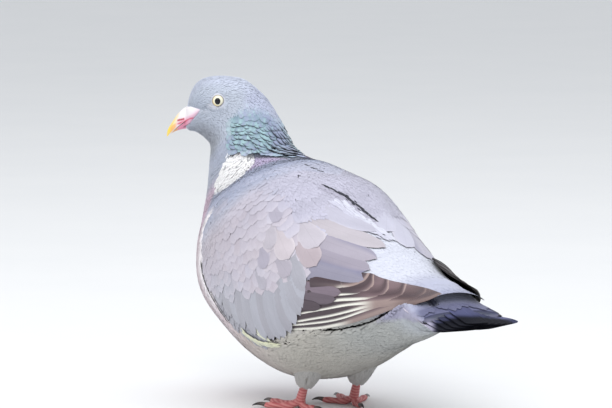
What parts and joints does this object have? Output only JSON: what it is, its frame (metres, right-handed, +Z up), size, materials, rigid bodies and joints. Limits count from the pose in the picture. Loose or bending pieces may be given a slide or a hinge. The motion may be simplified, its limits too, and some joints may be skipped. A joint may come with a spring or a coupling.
{
  "type": "wood pigeon",
  "caption": "Life-size still model of an adult wood pigeon standing with wings folded and head turned to its left.",
  "frame": {"origin": "centre of the bounding box in plan, on the floor under the feet", "axes": "+Z up; the bird's body faces -Y, its tail points to +Y and its left side is +X; the head is turned 62 degrees to its left"},
  "size_m": [0.1196, 0.3114, 0.2006],
  "materials": {
    "head": "smooth blue-grey plumage",
    "neck": "ruffled plumage with a green and mauve gloss and a white side patch",
    "body": "soft plumage, mauve-pink breast fading to pale grey belly and blue-grey rump",
    "wing": "rounded overlapping covert feathers, grey-brown with pale fringes",
    "flight": "dark brown flight feathers with narrow white edges",
    "tail": "slate-grey tail feathers with a broad black end band",
    "bill": "smooth horn, white at the base and yellow-orange at the tip",
    "bill_pink": "smooth pinkish horn",
    "eye": "glossy pale yellow iris round a dark pupil",
    "leg": "scaly purplish-red skin",
    "claw": "dark horn"
  },
  "bodies": {
    "root": {"bill_lower": "bill_pink", "bill_upper": "bill", "claw_left_hind": "claw", "claw_left_inner": "claw", "claw_left_middle": "claw", "claw_left_outer": "claw", "claw_right_hind": "claw", "claw_right_inner": "claw", "claw_right_middle": "claw", "claw_right_outer": "claw", "eye_left": "eye", "eye_right": "eye", "head": "head", "leg_left": "leg", "leg_right": "leg", "neck": "neck", "primaries_left": "flight", "primaries_right": "flight", "tail": "tail", "thigh_left": "body", "thigh_right": "body", "trunk": "body", "wing_left": "wing", "wing_right": "wing"}
  },
  "joints": []
}
